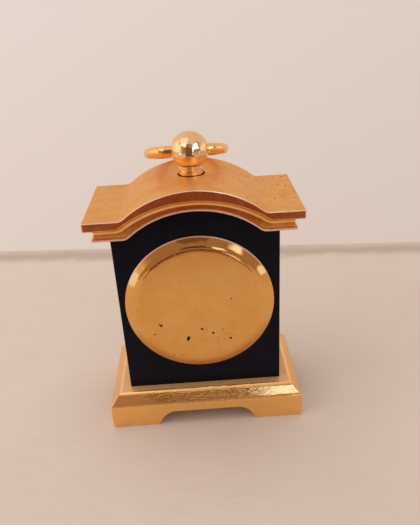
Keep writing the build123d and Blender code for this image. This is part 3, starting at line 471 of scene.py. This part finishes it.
# How far in, as shares of the ledge, the low rounding is looked for, and how far off its sharp outside
OUTER_SHARE, OUTSIDE_MISS = 0.4, 0.16
BEVEL_MISS = 0.06 * MM
SAME_POINT = 1e-7
CREASE = math.radians(24)


def sliced(form, axis, at):
    """Cuts a mesh into rings along an axis, at places on it."""
    across = Vector((0, 0, 0))
    across[axis] = 1
    for place in at:
        geometry = form.verts[:] + form.edges[:] + form.faces[:]
        bmesh.ops.bisect_plane(
            form, geom=geometry, dist=SAME_POINT, plane_co=across * place, plane_no=across
        )


def soften(vertex):
    """Moves a point of the plinth's sharp outside to the rounded one."""
    side = (plinth_high.x - abs(vertex.co.x)) / LEDGE_SIDE
    front = (plinth_high.y - abs(vertex.co.y)) / LEDGE_FRONT
    inward = min(side, front)
    above = vertex.co.z - PLINTH_BLOCK
    if abs(above) < SOFT_LOW and inward < OUTER_SHARE:
        sharp = max(above, 0) / BEVEL_RISE
        shift = (above + SOFT_LOW) ** 2 / (4 * SOFT_LOW * BEVEL_RISE) - sharp
        if side < sharp + OUTSIDE_MISS:
            vertex.co.x -= math.copysign(shift * LEDGE_SIDE, vertex.co.x)
        if front < sharp + OUTSIDE_MISS:
            vertex.co.y -= math.copysign(shift * LEDGE_FRONT, vertex.co.y)
    if abs(inward - 1) < SOFT_HIGH and abs(above - BEVEL_RISE * min(inward, 1)) < BEVEL_MISS:
        vertex.co.z = plinth_high.z - BEVEL_RISE * (1 + SOFT_HIGH - inward) ** 2 / (4 * SOFT_HIGH)


def softened_plinth():
    """The plinth's solid, cut into rings along its edges and rounded there."""
    source = nodes["plinth"].data
    form = bmesh.new()
    corners = [form.verts.new(v.co) for v in source.vertices]
    for polygon in source.polygons:
        form.faces.new([corners[i] for i in polygon.vertices])
    bmesh.ops.remove_doubles(form, verts=form.verts, dist=SAME_POINT)
    sliced(form, 2, [PLINTH_BLOCK + cut * SOFT_LOW for cut in CUTS])
    sliced(form, 2, [plinth_high.z + cut * SOFT_HIGH * BEVEL_RISE for cut in CUTS if cut < 0])
    steps = [1 + cut * SOFT_HIGH for cut in CUTS if cut > 0]
    for sign in (-1, 1):
        sliced(form, 0, [sign * (plinth_high.x - step * LEDGE_SIDE) for step in steps])
        sliced(form, 1, [sign * (plinth_high.y - step * LEDGE_FRONT) for step in steps])
    for vertex in form.verts:
        soften(vertex)
    mesh = bpy.data.meshes.new("plinth_softened")
    form.to_mesh(mesh)
    form.free()
    mesh.shade_smooth()
    mesh.set_sharp_from_angle(angle=CREASE)
    piece = new_piece("plinth_softened", mesh, "gold_cast", "case")
    weigh = piece.modifiers.new("normals", "WEIGHTED_NORMAL")
    weigh.keep_sharp = True
    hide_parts("plinth")


softened_plinth()


# Dial printing: roman numerals and a minute track

INK = 0.02 * MM
# Letters, as shares of their height: how wide, their strokes, and where their serifs are
THICK, THIN, SERIF, SERIF_REACH = 0.15, 0.055, 0.06, 0.13
LETTERS = {
    "I": (0.34, [((0, 0), (0, 1), THICK)], [(0, 0), (0, 1)]),
    "V": (0.68, [((-0.24, 1), (0, 0), THICK), ((0.24, 1), (0.02, 0), THIN)], [(-0.24, 1), (0.24, 1)]),
    "X": (
        0.66,
        [((-0.24, 1), (0.24, 0), THICK), ((0.24, 1), (-0.24, 0), THIN)],
        [(-0.24, 1), (0.24, 1), (-0.24, 0), (0.24, 0)],
    ),
}
NUMERALS = ("XII", "I", "II", "III", "IIII", "V", "VI", "VII", "VIII", "IX", "X", "XI")
NUMERAL_FOOT, NUMERAL_HEIGHT = 7.35 * MM, 1.75 * MM
TRACK_RINGS = ((9.5 * MM, 9.57 * MM), (10.02 * MM, 10.09 * MM))
RING_STEPS = 180
TICK_FOOT, TICK_TOP, TICK_WIDE, TICK_FINE = 9.55 * MM, 10.04 * MM, 0.2 * MM, 0.08 * MM


def on_dial(across, up, lift=0.0):
    """A point on the dial's front or over it, in metres across and up from its centre."""
    return DIAL_CENTRE + Vector((across, -lift, up))


def print_shape(form, outline):
    """A flat shape of ink on the dial, from (across, up) points."""
    low = [form.verts.new(on_dial(x, z)) for x, z in outline]
    high = [form.verts.new(on_dial(x, z, INK)) for x, z in outline]
    form.faces.new(high)
    form.faces.new(list(reversed(low)))
    for i in range(len(outline)):
        j = (i + 1) % len(outline)
        form.faces.new([low[i], low[j], high[j], high[i]])


def turned(points, angle):
    """(across, up) points turned clockwise about the dial's centre."""
    s, c = math.sin(angle), math.cos(angle)
    return [(x * c + z * s, z * c - x * s) for x, z in points]


def stroke(start, end, width):
    """The four corners of a straight stroke."""
    along = (Vector(end) - Vector(start)).normalized()
    side = Vector((-along.y, along.x)) * width / 2
    return [Vector(start) - side, Vector(end) - side, Vector(end) + side, Vector(start) + side]


def print_numeral(form, text, angle):
    """A numeral at an angle round the dial, its foot towards the centre."""
    pen = -sum(LETTERS[letter][0] for letter in text) / 2
    for letter in text:
        advance, strokes, ends = LETTERS[letter]
        middle = pen + advance / 2
        shapes = [stroke(a, b, width) for a, b, width in strokes]
        shapes += [stroke((x - SERIF_REACH, z), (x + SERIF_REACH, z), SERIF) for x, z in ends]
        for shape in shapes:
            placed = [((x + middle) * NUMERAL_HEIGHT, NUMERAL_FOOT + z * NUMERAL_HEIGHT) for x, z in shape]
            print_shape(form, turned(placed, angle))
        pen += advance


def print_ring(form, inner, outer):
    """A ring of ink round the dial's centre."""
    angles = [2 * math.pi * i / RING_STEPS for i in range(RING_STEPS)]
    loops = []
    for radius, lift in ((inner, 0), (outer, 0), (outer, INK), (inner, INK)):
        points = [on_dial(radius * math.sin(a), radius * math.cos(a), lift) for a in angles]
        loops.append([form.verts.new(p) for p in points])
    for k, loop in enumerate(loops):
        following = loops[(k + 1) % len(loops)]
        for i in range(RING_STEPS):
            j = (i + 1) % RING_STEPS
            form.faces.new([loop[i], following[i], following[j], loop[j]])


def printed_dial():
    """All the ink on the dial, as one piece."""
    form = bmesh.new()
    for hour, text in enumerate(NUMERALS):
        print_numeral(form, text, math.radians(30 * hour))
    for inner, outer in TRACK_RINGS:
        print_ring(form, inner, outer)
    for minute in range(60):
        width = TICK_WIDE if minute % 5 == 0 else TICK_FINE
        tick = stroke((0, TICK_FOOT), (0, TICK_TOP), width)
        print_shape(form, turned(tick, math.radians(6 * minute)))
    bmesh.ops.recalc_face_normals(form, faces=form.faces)
    mesh = bpy.data.meshes.new("dial_printing")
    form.to_mesh(mesh)
    form.free()
    new_piece("dial_printing", mesh, "black_paint", "case")


printed_dial()


# Stage: a pale floor up to the wall, and for the metal alone a darker floor far off and lit sheets

REACH = 0.6
# Where the floor's painted shade along the wall is full, the wall's foot and its slant
WALL_SHADE_AT, WALL_AT, WALL_SLANT = -67.2 * MM, -72.2 * MM, -0.1022
WALL_SHADE_UNEVEN = 1.2 * MM
FLOOR_DARK, FLOOR_PALE = (0.675, 0.545, 0.462), (0.705, 0.572, 0.49)
FLOOR_STREAK, FLOOR_GRIME, FLOOR_WALL_SHADE = (0.58, 0.46, 0.38), (0.24, 0.18, 0.15), (0.40, 0.29, 0.22)
FAR_COLOUR = (0.23, 0.075, 0.06, 1)
FAR_FLOOR, FAR_SIDE, FAR_SPREAD, FAR_LIFT = 0.10, 0.05, 0.3, 0.5 * MM


def stage_sheet(name, corners, material):
    """A flat sheet of the stage."""
    mesh = bpy.data.meshes.new(name)
    mesh.from_pydata(corners, [], [list(range(len(corners)))])
    sheet = bpy.data.objects.new(name, mesh)
    scene.collection.objects.link(sheet)
    mesh.materials.append(material)
    return sheet


def mirrored_only(sheet):
    """Leaves a stage sheet to reflections alone."""
    sheet.visible_camera = False
    sheet.visible_diffuse = False
    sheet.visible_shadow = False
    sheet.visible_transmission = False


def floor_paint():
    """The floor: mottled and faintly streaked, with painted shade in a soft dark line along the wall."""
    f = Finish("floor_paint", Specular_IOR_Level=0.0)
    paint = f.mix(f.uneven(25.0, detail=4.0), FLOOR_DARK, FLOOR_PALE)
    streaks = f.noise(0.7, detail=4.0, stretch=(14, 1, 1))
    paint = f.mix(f.span(streaks, 0.35, 0.7, 0.0, 0.22), paint, FLOOR_STREAK)
    paint = f.mix(f.times(f.specks(7.0, 0.05, 0.3), 0.6), paint, FLOOR_GRIME)
    along_wall = f.math("ADD", f.axis("Y"), f.times(f.axis("X"), -WALL_SLANT))
    back = f.math("ADD", along_wall, f.uneven(9.0, -WALL_SHADE_UNEVEN, WALL_SHADE_UNEVEN))
    # Painted shade: a soft dark band on the floor along the foot of the wall
    before = f.span(back, WALL_SHADE_AT + 6 * MM, WALL_SHADE_AT, shape="SMOOTHSTEP")
    after = f.span(back, WALL_AT - 2 * MM, WALL_SHADE_AT, 0.1, 0.62, shape="SMOOTHSTEP")
    f.tone = f.mix(f.times(before, after), paint, FLOOR_WALL_SHADE)
    f.gloss = f.uneven(6.0, 0.5, 0.62)
    f.normal = f.bump(f.noise(1.5, detail=5.0, stretch=(4, 1, 1)), 0.03, 0.5)
    return f.worn()


def lay_floor():
    """The floor, from the wall's slanting foot to beyond the camera."""
    wall_left = (REACH, WALL_AT + WALL_SLANT * REACH, 0)
    wall_right = (-REACH, WALL_AT - WALL_SLANT * REACH, 0)
    stage_sheet("floor", [wall_left, (REACH, REACH, 0), (-REACH, REACH, 0), wall_right], floor_paint())


def lay_far_floor():
    """The darker floor beyond the camera."""
    f = Finish("far_floor", Base_Color=FAR_COLOUR, Roughness=1.0, Specular_IOR_Level=0.0)
    near = [(-FAR_SIDE, FAR_FLOOR, FAR_LIFT), (FAR_SIDE, FAR_FLOOR, FAR_LIFT)]
    away = [(FAR_SPREAD, REACH, FAR_LIFT), (-FAR_SPREAD, REACH, FAR_LIFT)]
    mirrored_only(stage_sheet("far_floor", near + away, f.material))


def lit_sheet(name, corners, colour):
    """A sheet with a light of its own."""
    f = Finish(name, Base_Color=(0, 0, 0, 1), Emission_Color=(*colour, 1), Emission_Strength=1.0)
    mirrored_only(stage_sheet(name, corners, f.material))


def card(name, left, right, low, high, colour):
    """An upright lit sheet over two places on the floor."""
    lit_sheet(name, [(*left, low), (*right, low), (*right, high), (*left, high)], colour)


def at(azimuth, distance):
    """A place on the floor, by its azimuth from the camera's side and its distance."""
    angle = math.radians(azimuth)
    return distance * math.sin(angle), distance * math.cos(angle)


# The dark of the room before the ball: across and up, at one depth
DARK_FRONT = (
    (0.0085, 0.0489), (-0.0052, 0.0489), (-0.0058, 0.0590), (-0.0020, 0.0643), (0.0010, 0.0660),
    (0.0016, 0.0760), (0.0052, 0.0760), (0.0060, 0.0660), (0.0100, 0.0600),
)
DARK_FRONT_AT = 0.020

lay_floor()
lay_far_floor()
card("glow_left", at(55, 0.21), at(68, 0.21), 0.001, 0.042, (1.0, 1.1, 1.6))
card("glow_right", at(-55, 0.26), at(-66, 0.26), 0.008, 0.042, (1.0, 1.1, 1.5))
card("camera_body", (0.023, 0.100), (-0.016, 0.100), 0.057, 0.080, (0.05, 0.036, 0.022))
card("glow_camera", (-0.0195, 0.0965), (-0.040, 0.088), 0.054, 0.073, (1.15, 1.5, 2.4))
card("glow_low", (-0.036, 0.145), (-0.062, 0.141), 0.004, 0.040, (1.0, 1.0, 1.1))
card("ball_window", (-0.0066, 0.0205), (-0.0187, 0.0117), 0.0577, 0.074, (2.4, 2.8, 3.8))
card("ball_glow", (0.010, 0.0205), (0.0203, 0.0093), 0.0665, 0.082, (1.3, 1.4, 1.5))
lit_sheet("dark_front", [(x, DARK_FRONT_AT, z) for x, z in DARK_FRONT], (0.14, 0.085, 0.065))


# Lamps

LIT = (0, 0, 0.03)


def lamp(name, place, size, watts, colour):
    """A large soft square lamp towards the clock, which the metal doesn't mirror."""
    light = bpy.data.lights.new(name, "AREA")
    light.shape = "RECTANGLE"
    light.size = size
    light.size_y = size
    light.energy = watts
    light.color = colour
    holder = bpy.data.objects.new(name, light)
    holder.location = place
    holder.rotation_euler = (Vector(LIT) - Vector(place)).to_track_quat("-Z", "Y").to_euler()
    holder.visible_glossy = False
    scene.collection.objects.link(holder)


lamp("ceiling", (0.06, -0.06, 0.45), 0.35, 0.65, (1.0, 0.95, 0.90))
lamp("window_left", (0.30, 0.10, 0.25), 0.25, 0.3, (1.0, 0.93, 0.86))


# Room: what the camera and the metal see round the stage, by direction, and a plain fill for the rest

# The wall at its right and its left: painted light, lighter to the left where the light comes from, and
# darker lower down
WALL_LOW = ((0.690, 0.568, 0.500), (0.745, 0.613, 0.530))
WALL_HIGH = ((0.737, 0.617, 0.546), (0.80, 0.672, 0.61))
DIM = (0.37, 0.245, 0.21)
FILL, FILL_STRENGTH = (1.0, 0.97, 0.94, 1), 0.68
# Panes: azimuth, elevation, width, height, soft edge in degrees; colour
PANES = (
    ((88, 14, 60, 40, 22), (1.45, 1.15, 0.92)),
    ((-96, 8, 50, 22, 8), (1.05, 0.92, 0.80)),
    ((-41, 23, 8, 13, 4), (1.2, 1.4, 2.2)),
    ((65, 68, 90, 40, 20), (1.25, 1.1, 0.92)),
)


class Room(Finish):
    """The world's nodes, with each direction's azimuth (from the camera's side, to +X) and elevation."""

    def __init__(self, world):
        world.use_nodes = True
        self.tree = world.node_tree
        self.tree.nodes.clear()
        self.place = self.add("ShaderNodeTexCoord").outputs["Generated"]
        self.azimuth = self.degrees(self.math("ARCTAN2", self.axis("X"), self.axis("Y")))
        self.elevation = self.degrees(self.math("ARCSINE", self.axis("Z")))

    def degrees(self, angle):
        return self.times(angle, math.degrees(1))

    def within(self, angle, middle, width, soft):
        """1 inside a width round a middle, 0 outside it, with a soft edge."""
        off = self.size(self.math("SUBTRACT", angle, middle))
        return self.span(off, (width + soft) / 2, (width - soft) / 2)

    def pane(self, azimuth, elevation, wide, high, soft):
        """A soft-edged window in the room: 1 in it, 0 outside."""
        across = self.within(self.azimuth, azimuth, wide, soft)
        return self.times(across, self.within(self.elevation, elevation, high, soft))


def light_room():
    """Builds the room and makes it the scene's world."""
    scene.world = bpy.data.worlds.new("room")
    room = Room(scene.world)
    # The wall's painted light: lighter towards the left and higher up
    to_left = room.span(room.axis("X"), -0.33, 0.33)
    upward = room.span(room.elevation, -24, -2)
    wall = room.mix(upward, room.mix(to_left, *WALL_LOW), room.mix(to_left, *WALL_HIGH))
    camera_side = room.span(room.axis("Y"), -0.05, 0.35)
    dim_share = room.times(camera_side, room.span(room.elevation, 53, 43))
    sight = room.mix(dim_share, wall, DIM)
    for place, colour in PANES:
        sight = room.mix(room.pane(*place), sight, colour)
    path = room.add("ShaderNodeLightPath").outputs
    by_eye = room.math("MAXIMUM", path["Is Camera Ray"], path["Is Transmission Ray"])
    by_sight = room.math("MAXIMUM", by_eye, path["Is Glossy Ray"])
    seen = room.add("ShaderNodeBackground", {"Color": room.mix(by_eye, sight, wall)}).outputs[0]
    fill = room.add("ShaderNodeBackground", {"Color": FILL, "Strength": FILL_STRENGTH}).outputs[0]
    both = room.add("ShaderNodeMixShader", {0: by_sight, 1: fill, 2: seen}).outputs[0]
    room.add("ShaderNodeOutputWorld", {0: both})


light_room()


# Camera: the photograph's place, turn and lens

AZIMUTH, ELEVATION, ROLL = math.radians(0.959), math.radians(26.869), math.radians(-3.37)
DISTANCE, TARGET = 0.10867, Vector((-0.002442, 0, 0.030444))
LENS_MM, CLIP_START = 38.35, 0.005


def place_camera():
    """Sets the camera at its distance from the target, turned to it and rolled."""
    level = Vector((math.sin(AZIMUTH), math.cos(AZIMUTH), 0))
    back = level * math.cos(ELEVATION) + Vector((0, 0, math.sin(ELEVATION)))
    right = Vector((0, 0, 1)).cross(back).normalized()
    up = back.cross(right)
    turn_x = right * math.cos(ROLL) + up * math.sin(ROLL)
    turn_y = up * math.cos(ROLL) - right * math.sin(ROLL)
    turn = Matrix((turn_x, turn_y, back)).transposed().to_4x4()
    lens = bpy.data.cameras.new("camera")
    lens.lens = LENS_MM
    lens.clip_start = CLIP_START
    camera = bpy.data.objects.new("camera", lens)
    camera.matrix_world = Matrix.Translation(TARGET + back * DISTANCE) @ turn
    scene.collection.objects.link(camera)
    scene.camera = camera


place_camera()
scene.view_settings.view_transform = "Standard"
